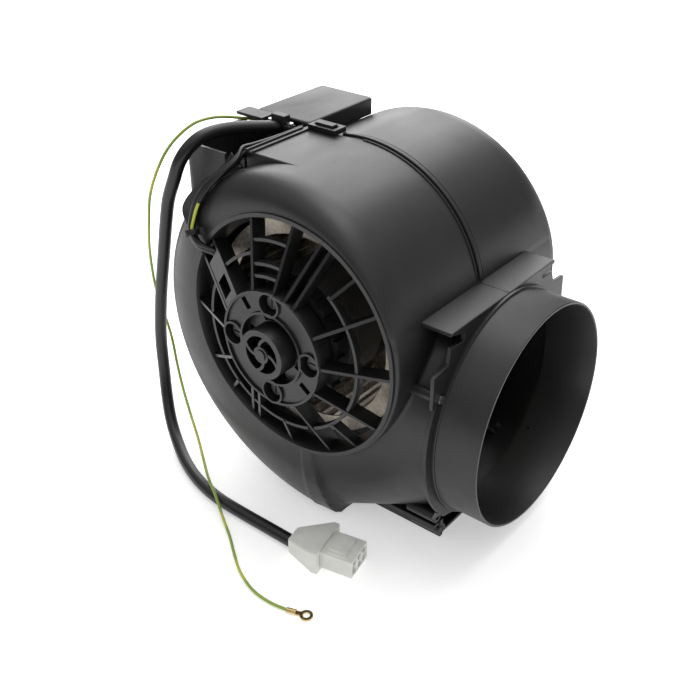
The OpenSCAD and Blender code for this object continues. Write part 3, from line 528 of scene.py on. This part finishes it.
def surface_net(field, origin, step):
    """Quads around the zero surface of a field sampled on a grid."""
    shape = np.array(field.shape)
    total = np.zeros((*(shape - 1), 3))
    count = np.zeros(shape - 1)
    quads = []
    for axis in range(3):
        lo = [slice(None)] * 3
        hi = [slice(None)] * 3
        lo[axis], hi[axis] = slice(0, -1), slice(1, None)
        a, b = field[tuple(lo)], field[tuple(hi)]
        idx = np.argwhere((a < 0) != (b < 0))
        va, vb = a[tuple(idx.T)], b[tuple(idx.T)]
        point = idx.astype(float)
        point[:, axis] += va / (va - vb)
        u, v = [(1, 2), (2, 0), (0, 1)][axis]
        corners, fine = [], np.ones(len(idx), bool)
        for du, dv in ((0, 0), (-1, 0), (-1, -1), (0, -1)):
            cell = idx.copy()
            cell[:, u] += du
            cell[:, v] += dv
            ok = np.all((cell >= 0) & (cell < shape - 1), axis=1)
            fine &= ok
            where = tuple(cell[ok].T)
            np.add.at(total, where, point[ok])
            np.add.at(count, where, 1.0)
            corners.append(cell)
        quad = np.stack(corners, axis=1)[fine]
        flip = (va < 0)[fine]
        quad[~flip] = quad[~flip][:, ::-1]
        quads.append(quad)
    quads = np.concatenate(quads)
    flat = np.ravel_multi_index(tuple(np.moveaxis(quads, -1, 0)), tuple(shape - 1))
    used, faces = np.unique(flat, return_inverse=True)
    cells = np.unravel_index(used, tuple(shape - 1))
    verts = total[cells] / count[cells][:, None]
    return verts * step + origin, faces.reshape(flat.shape)


def settle(points, field, rounds=3):
    """Moves points along the field's slope on to its zero surface."""
    p = points.copy()
    small = 0.05
    for _ in range(rounds):
        value = field(p)
        grad = np.stack([(field(p + small * e) - field(p - small * e)) / (2 * small)
                         for e in np.eye(3)], axis=-1)
        size = np.maximum((grad ** 2).sum(-1), 0.2)
        move = -(value / size)[:, None] * grad
        p += np.clip(move, -1.0, 1.0)
    return p


# The field's grid: its cell size, the room it leaves around the casing, and its outer faces
GRID = 1.8
GRID_ROOM = 4
GRID_LEFT, GRID_LOW, GRID_TOP = -118.0, -142.0, 106.0
# Where the shells are cut off behind the flange
FLANGE_BACK = FLANGE_X - FLANGE_T + 0.3


def shell(name, side, node):
    """One half of the casing as a thin wall, open at the inlet, the joint and the duct."""
    y0, y1 = (-HALF_W - GRID_ROOM, GRID) if side < 0 else (-GRID, HALF_W + GRID_ROOM)
    lo = np.array([GRID_LEFT, y0, GRID_LOW])
    n = np.ceil((np.array([FLANGE_X + GRID_ROOM, y1, GRID_TOP]) - lo) / GRID).astype(int) + 1
    axes = [lo[i] + GRID * np.arange(n[i]) for i in range(3)]
    grid = np.stack(np.meshgrid(*axes, indexing="ij"), axis=-1)
    verts, faces = surface_net(casing_field(grid), lo, GRID)
    verts = settle(verts, casing_field)
    rho = np.hypot(verts[:, 0], verts[:, 2])
    in_hole = (rho < INLET_R) & (np.abs(verts[:, 1]) > HALF_W - 3)
    keep = ~in_hole[faces].all(axis=1)
    faces = faces[keep]
    rim = np.unique(faces[in_hole[faces].any(axis=1)])
    rim = rim[in_hole[rim]]
    verts[rim, 0] *= INLET_R / rho[rim]
    verts[rim, 2] *= INLET_R / rho[rim]
    mesh = bpy.data.meshes.new(name)
    mesh.from_pydata([tuple(v) for v in verts], [], [tuple(f) for f in faces])
    bm = bmesh.new()
    bm.from_mesh(mesh)
    for point, normal in (((0, 0, 0), (0, -side, 0)), ((FLANGE_BACK, 0, 0), (1, 0, 0))):
        bmesh.ops.bisect_plane(bm, geom=bm.verts[:] + bm.edges[:] + bm.faces[:],
                               plane_co=point, plane_no=normal, clear_outer=True)
    bmesh.ops.delete(bm, geom=[v for v in bm.verts if not v.link_faces], context="VERTS")
    bmesh.ops.recalc_face_normals(bm, faces=bm.faces)
    middle = max(bm.faces, key=lambda f: f.calc_center_median().length)
    if middle.normal.dot(middle.calc_center_median()) < 0:
        bmesh.ops.reverse_faces(bm, faces=bm.faces)
    bm.to_mesh(mesh)
    bm.free()
    coords = np.array([v.co for v in mesh.vertices])
    mesh.vertices.foreach_set("co", to_frame(coords).ravel())
    mesh.update()
    obj = finish_object(name, mesh, casing_mat, "casing", 50,
                        replaces=(node,))
    solid = obj.modifiers.new("wall", "SOLIDIFY")
    solid.thickness = WALL * MM
    solid.offset = -1.0
    solid.use_even_offset = False
    return obj


shell("shell_front", -1, "casing_front")
shell("shell_rear", 1, "casing_rear")


def on_spiral(a, off):
    q = math.radians(a)
    r = wall_radius(a) + off
    return np.array([r * math.cos(q), 0.0, r * math.sin(q)])


def spiral_strip(name, outline, a0, a1, steps, mat=casing_mat):
    """A bar along the spiral wall; its outline is (height above the wall, y)."""
    verts, faces = [], []
    m = len(outline)
    for k in range(steps + 1):
        a = a0 + (a1 - a0) * k / steps
        for off, y in outline:
            verts.append(on_spiral(a, off) + np.array([0.0, y, 0.0]))
    for k in range(steps):
        for i in range(m):
            j = (i + 1) % m
            faces.append((k * m + i, (k + 1) * m + i, (k + 1) * m + j, k * m + j))
    faces.append(tuple(range(m - 1, -1, -1))[::-1])
    faces.append(tuple(range(steps * m, (steps + 1) * m))[::-1])
    return bevel(new_object(name, verts, faces, mat, "casing", 35), 0.4)


# Lip of the rear half over the joint, with a groove in front of it
BEAD_START, BEAD_END, FRONT_BEAD_END = 20.0, 107.5, 97.0
LOW_START, LOW_END = 162.0, 240.0
spiral_strip("joint_lip", [(-0.8, 0.1), (1.5, 0.1), (1.7, 1.4), (1.7, 3.0), (-0.8, 3.0)],
             BEAD_START, BEAD_END, 60)
spiral_strip("joint_lip_edge", [(-0.8, 4.2), (1.0, 4.2), (1.0, 5.0), (-0.8, 5.0)],
             BEAD_START, BEAD_END, 60)
spiral_strip("joint_bead", [(-0.8, -2.6), (0.9, -2.6), (0.9, -1.5), (-0.8, -1.5)],
             BEAD_START, FRONT_BEAD_END, 60)
spiral_strip("joint_low", [(-0.8, -2.0), (1.5, -2.0), (1.5, 2.0), (-0.8, 2.0)],
             LOW_START, LOW_END, 50)


def arc(cx, cy, r, a0, a1, steps):
    return [(cx + r * math.cos(math.radians(a)), cy + r * math.sin(math.radians(a)))
            for a in np.linspace(a0, a1, steps)]


def flange(side):
    """Upright plate around the duct; the rear half's corner is toothed."""
    r, w, z = NECK_R + 5.0, SHELF_HALF, SHELF_Z
    if side < 0:
        corner = [(-w, z - 0.1), (-w, z - 1.5), (14 - w, z - 6), (13 - w, z - 11),
                  (-w, z - 9), (-w - 1.5, z - 20), (-NECK_R - 0.5, z - 22),
                  (-NECK_R - 0.5, z - 44)]
    else:
        corner = [(w - 6, z - 0.1), (w - 6, z - 2.5), (w - 21, z - 2.5), (w - 20.5, z - 7.5),
                  (w - 8, z - 7.5), (w - 4.4, z - 16.5), (NECK_R - 6, z - 17.5),
                  (NECK_R - 5, z - 32)]
    round_part = [(-side * x, h) for x, h in arc(0, -RISE, r, 155, 225, 22)]
    under = [(-side * x, h) for x, h in arc(0, -RISE, NECK_R + 0.3, 232, 270, 14)]
    inner = [(-side * x, h) for x, h in arc(0, -RISE, DUCT_R + 0.2, 270, 90, 60)]
    inner = [(side * abs(x) + side * 0.1, h) for x, h in inner]
    top = [(side * 0.1, z - 0.1)]
    outline = top + corner + round_part + under + inner
    v, f = prism(outline, 0, FLANGE_X - FLANGE_T, FLANGE_X)
    obj = new_object("flange_" + ("front" if side < 0 else "rear"), v, f, casing_mat,
                     "casing", 30)
    return bevel(obj, 0.35)


for side in (-1, 1):
    flange(side)


def simple(name, part, mat=casing_mat, edge=0.4, angle=35,
           segments=2, replaces=()):
    v, f = part
    obj = new_object(name, v, f, mat, "casing", angle, replaces)
    return bevel(obj, edge, segments) if edge else obj


# Shelves above the duct, foot rails, ledges, webs and screw tubes
for side, word in ((-1, "front"), (1, "rear")):
    y0, y1 = (-SHELF_HALF, -0.15) if side < 0 else (0.15, SHELF_HALF - 6)
    simple("shelf_" + word, box((SHELF_X - 2, y0, SHELF_Z - 2.5),
                                (FLANGE_X - 0.4, y1, SHELF_Z)), edge=0.5)
    ya, yb = sorted((side * (FOOT_HALF - 3), side * FOOT_HALF))
    simple("rail_" + word, prism([(-30, FOOT_Z), (FOOT_FRONT, FOOT_Z),
                                  (FOOT_FRONT, FOOT_Z + 14), (60, FOOT_Z + 22),
                                  (-30, FOOT_Z + 22)], 1, ya, yb))
    ya, yb = sorted((side * 0.15, side * (FOOT_HALF - 1)))
    simple("foot_plate_" + word,
           box((38, ya, FOOT_Z + 0.4), (FOOT_FRONT - 1, yb, FOOT_Z + 2.9)))
    ya, yb = sorted((side * (FOOT_HALF - 1), side * (FOOT_HALF + 6)))
    simple("ledge_" + word, box((46, ya, FOOT_Z + 10.5), (FOOT_FRONT - 1, yb, FOOT_Z + 13)))
    ends = []
    for x, z, y_in, y_out in ((FLANGE_X - 0.2, FOOT_Z + 34, 50, 65),
                              (FOOT_FRONT, FOOT_Z + 20, 49, 58)):
        ends += [(x - 2.3, side * y_in, z), (x - 2.3, side * y_out, z),
                 (x, side * y_out, z), (x, side * y_in, z)]
    faces = [(0, 1, 2, 3), (7, 6, 5, 4)] + [(i, i + 4, (i + 1) % 4 + 4, (i + 1) % 4)
                                            for i in range(4)]
    if side > 0:
        faces = [f[::-1] for f in faces]
    simple("foot_web_" + word, (np.array(ends), faces))
    tubes = []
    for y, z in ((side * (FOOT_HALF + 4), FOOT_Z + 19.5), (side * (FOOT_HALF - 2), FOOT_Z + 5.5)):
        v, f = revolve([(4, 0), (4, 22), (1.8, 22), (1.8, 6), (0.01, 6), (0.01, 0)], steps=28)
        tubes.append((np.stack([v[:, 2] + FOOT_FRONT - 22, v[:, 0] + y, v[:, 1] + z], 1), f))
    v, f = revolve([(3.5, 0), (3.5, 32), (0.01, 32), (0.01, 0)], steps=28)
    tubes.append((np.stack([v[:, 2] + 66, v[:, 0] + side * 70.4, v[:, 1] - 13], 1), f))
    simple("screw_tubes_" + word, merge(tubes))

# Deck beside the wiring box, and its double ridge
EDGE = BOX_RIGHT - 1
simple("deck", box((EDGE, TRAY_NEAR, DECK_Z - 34), (-12, -2.6, DECK_Z)), edge=1.0)
for k in (0, 5):
    simple("deck_ridge_%d" % k, box((EDGE + k, TRAY_NEAR, DECK_Z - 2),
                                    (EDGE + k + 1.6, -8, DECK_Z + 1.2)), edge=0.5)


def wall_z(x):
    """Height of the spiral wall at a distance x to the left of the axis."""
    a = 110.0
    for _ in range(30):
        a = math.degrees(math.acos(x / wall_radius(a)))
    return wall_radius(a) * math.sin(math.radians(a))


LID_GAP, LID_H = 0.4, 11.5
LID_BASE = wall_z(BOX_RIGHT) + LID_GAP
LID_TOP = LID_BASE + LID_H
# Notches in the lid's near edge: left end, right end, and depth left above them
LID_NOTCHES = ((-100.4, -94.6, 2.6), (-79.5, -59.2, 2.3))


def lid():
    """Lid open below, with rounded edges, two notches for the leads and a tongue."""
    near, far, left, right, round_r = LID_NEAR, LID_FAR, BOX_LEFT, BOX_RIGHT, 3.0
    corners = [(right - round_r, near + round_r, 270), (right - round_r, far - round_r, 0),
               (left + round_r, far - round_r, 90), (left + round_r, near + round_r, 180)]
    outline = []
    for x, y, start in corners:
        outline += [(px, py, LID_BASE) for px, py in arc(x, y, round_r, start, start + 90, 7)]
    for x0, x1, drop in LID_NOTCHES:
        top = LID_TOP - drop
        outline += [(x0 - 0.02, near, LID_BASE), (x0, near, top), (x1, near, top),
                    (x1 + 0.02, near, LID_BASE)]
    mid_x, mid_y = (left + right) / 2, (near + far) / 2
    half_x, half_y = (right - left) / 2, (far - near) / 2

    def ring(inset, z):
        kx, ky = 1 - inset / half_x, 1 - inset / half_y
        return [(mid_x + (x - mid_x) * kx, mid_y + (y - mid_y) * ky, base if z is None else z)
                for x, y, base in outline]

    rings = [ring(2.0, LID_TOP - 2.0), ring(2.0, None), ring(0.0, None)]
    for q in (0, 22.5, 45, 67.5, 90):
        c, d = math.cos(math.radians(q)), math.sin(math.radians(q))
        rings.append(ring(1.6 * (1 - c), LID_TOP - 1.6 * (1 - d)))
    n = len(outline)
    verts = [p for r in rings for p in r]
    faces = [tuple(range(n))[::-1], tuple(range((len(rings) - 1) * n, len(rings) * n))]
    for k in range(len(rings) - 1):
        faces += [(k * n + i, k * n + (i + 1) % n, (k + 1) * n + (i + 1) % n, (k + 1) * n + i)
                  for i in range(n)]
    v, f = merge([(np.array(verts), faces),
                  box((left - 6.9, near - 11.9, LID_TOP - 2), (left + 16, near + 0.4, LID_TOP))])
    new_object("lid", v, f, box_mat, "casing", 40, replaces=("box_lid",))


lid()

# Fence beside the motor's leads, from the deck to the guard
FENCE = [(-196, -60.5, 144.5), (-199, -64, 138), (-203.8, -68, 131.8), (-210.8, -72, 126.4),
         (-215, -81, 118.5), (-215, -87, 113), (-212.5, -89.5, 107.5), (-208.6, -91.5, 104)]


def side_radius(angle, y):
    """Radius of the casing's side face at an angle and a distance y from mid width."""
    t = min(max(y - HALF_W + SHOULDER, 0.0) / SHOULDER, 1.0)
    return RIM_R + (wall_radius(angle) - RIM_R) * math.sqrt(1.0 - t * t)


def fence():
    top = route(FENCE)
    n = len(top)
    verts, faces = [], []
    for k, p in enumerate(top):
        out = np.array([p[0], 0.0, p[2]])
        radius = np.linalg.norm(out)
        out /= radius
        angle = math.degrees(math.atan2(p[2], p[0]))
        foot = max(side_radius(angle, -p[1] - 2.0) - 1.0, RIM_R + 1.5)
        depth = max(radius - foot, 2.0)
        left = np.gradient(top, axis=0)[k]
        wide = np.cross(left / np.linalg.norm(left), out)
        wide /= np.linalg.norm(wide)
        for q in (p + wide, p - wide, p - wide - out * depth, p + wide - out * depth):
            verts.append(q)
    for k in range(n - 1):
        for i in range(4):
            j = (i + 1) % 4
            faces.append((k * 4 + i, k * 4 + j, (k + 1) * 4 + j, (k + 1) * 4 + i))
    faces += [(3, 2, 1, 0), tuple(range((n - 1) * 4, n * 4))]
    return verts, faces


simple("lead_fence", fence(), edge=0.4)


# ---------------------------------------------------------------- outlet collar

def collar():
    """Thin round spigot: a rolled-in lip at the mouth and a flange at its back."""
    inner = DUCT_R - 2.0
    profile = [(inner, -8), (inner, 29.2), (inner + 0.5, 30), (DUCT_R - 0.5, 30),
               (DUCT_R, 29.4), (DUCT_R, 2.6), (DUCT_R + 0.4, 2), (NECK_R - 0.9, 2),
               (NECK_R - 0.5, 1.6), (NECK_R - 0.5, 0), (DUCT_R, 0), (DUCT_R, -8)]
    v, f = revolve(profile, steps=144)
    new_object("spigot", on_duct(v, FLANGE_X), f, collar_mat, "casing", 40,
               replaces=("outlet_collar",))


collar()


# ---------------------------------------------------------------- nodes kept as they are

KEPT = {
    "motor_grille": guard_mat, "inlet_guard": guard_mat,
    "motor_cover_front": motor_mat, "motor_cover_rear": motor_mat,
    "stator_core": core_mat, "stator_windings": copper_mat,
    "bearing_front": bronze_mat, "bearing_rear": bronze_mat,
    "motor_bushes": rubber_mat, "motor_screws": dark_screw_mat,
    "rotor_core": core_mat, "motor_shaft": steel_mat,
    "wheel_disc": zinc_mat, "wheel_hub": alloy_mat, "hub_set_screw": dark_screw_mat,
    "wheel_blades_front": zinc_mat, "wheel_blades_rear": zinc_mat,
    "wheel_ring_front": zinc_mat, "wheel_ring_rear": zinc_mat,
    "wiring_box": box_mat, "run_capacitor": cap_mat,
    "terminal_block": white_mat, "cable_clamp": box_mat, "clamp_screws": screw_mat,
    "seam_latch": box_mat, "latch_hook": box_mat, "casing_screws": screw_mat,
    "cable_tie": tie_mat, "connector_hood": white_mat, "connector_plug": white_mat,
    "connector_sockets": brass_mat, "ring_terminal": brass_mat,
}
for name, mat in KEPT.items():
    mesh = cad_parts[name].data
    mesh.materials.clear()
    mesh.materials.append(mat)

# Rounded edges on the moulded and cast pieces that show
SOFT_EDGES = {"wiring_box": 0.6, "connector_hood": 1.4, "connector_plug": 0.5,
              "cable_clamp": 0.5, "seam_latch": 0.5, "latch_hook": 0.4, "motor_grille": 0.25,
              "inlet_guard": 0.25, "cable_tie": 0.25}
for name, width in SOFT_EDGES.items():
    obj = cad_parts[name]
    weld = obj.modifiers.new("weld", "WELD")
    weld.merge_threshold = 0.01 * MM
    edge = bevel(obj, width, 3 if width > 1 else 2, 40.0).modifiers["edge"]
    edge.use_clamp_overlap = name not in ("connector_hood", "connector_plug")


# ---------------------------------------------------------------- floor and light

FLOOR_Z = (FOOT_Z + RISE) * MM
FLOOR_GLOW = 0.45
floor_mesh = bpy.data.meshes.new("floor")
FLOOR_HALF = 6.0  # metres
floor_mesh.from_pydata([(-FLOOR_HALF, -FLOOR_HALF, FLOOR_Z), (FLOOR_HALF, -FLOOR_HALF, FLOOR_Z),
                        (FLOOR_HALF, FLOOR_HALF, FLOOR_Z), (-FLOOR_HALF, FLOOR_HALF, FLOOR_Z)],
                       [], [(0, 1, 2, 3)])
floor = bpy.data.objects.new("floor", floor_mesh)
bpy.context.collection.objects.link(floor)
floor_mat = Nodes("pale_floor", (0.86, 0.86, 0.86), 0.7)
floor_mat.colours(floor_mat.noise(3.0), [(0.3, (0.85, 0.85, 0.85)), (0.7, (0.87, 0.87, 0.87))])
floor_mat.bsdf.inputs["Emission Color"].default_value = (1.0, 1.0, 1.0, 1.0)
floor_mat.bsdf.inputs["Emission Strength"].default_value = FLOOR_GLOW
floor_mesh.materials.append(floor_mat.mat)

world = bpy.data.worlds.new("studio")
bpy.context.scene.world = world
world.use_nodes = True
sky = world.node_tree
height = sky.nodes.new("ShaderNodeSeparateXYZ")
sky_coords = sky.nodes.new("ShaderNodeTexCoord")
sky.links.new(sky_coords.outputs["Generated"], height.inputs["Vector"])
glow = sky.nodes.new("ShaderNodeValToRGB")
sky.links.new(height.outputs["Z"], glow.inputs["Fac"])
for at, level in ((0.0, 0.14), (0.35, 0.28), (0.75, 0.80), (1.0, 1.0)):
    stop = (glow.color_ramp.elements[0] if at == 0.0 else
            glow.color_ramp.elements[-1] if at == 1.0 else glow.color_ramp.elements.new(at))
    stop.position = at
    stop.color = (level, level, level, 1.0)
sky.links.new(glow.outputs["Color"], sky.nodes["Background"].inputs["Color"])
sky.nodes["Background"].inputs["Strength"].default_value = 1.0


def area_light(name, place, target, size, power):
    data = bpy.data.lights.new(name, "AREA")
    data.shape = "SQUARE"
    data.size = size
    data.energy = power
    light = bpy.data.objects.new(name, data)
    bpy.context.collection.objects.link(light)
    light.location = place
    aim = Vector(target) - Vector(place)
    light.rotation_euler = aim.to_track_quat("-Z", "Y").to_euler()
    return light


CENTRE = (-0.12, 0.0, 0.03)
area_light("back_softbox", (-0.95, 1.15, 0.95), CENTRE, 1.7, 27.0)
area_light("top_softbox", (-0.1, 0.3, 1.6), CENTRE, 1.0, 9.0)

scene = bpy.context.scene
scene.view_settings.view_transform = "Standard"
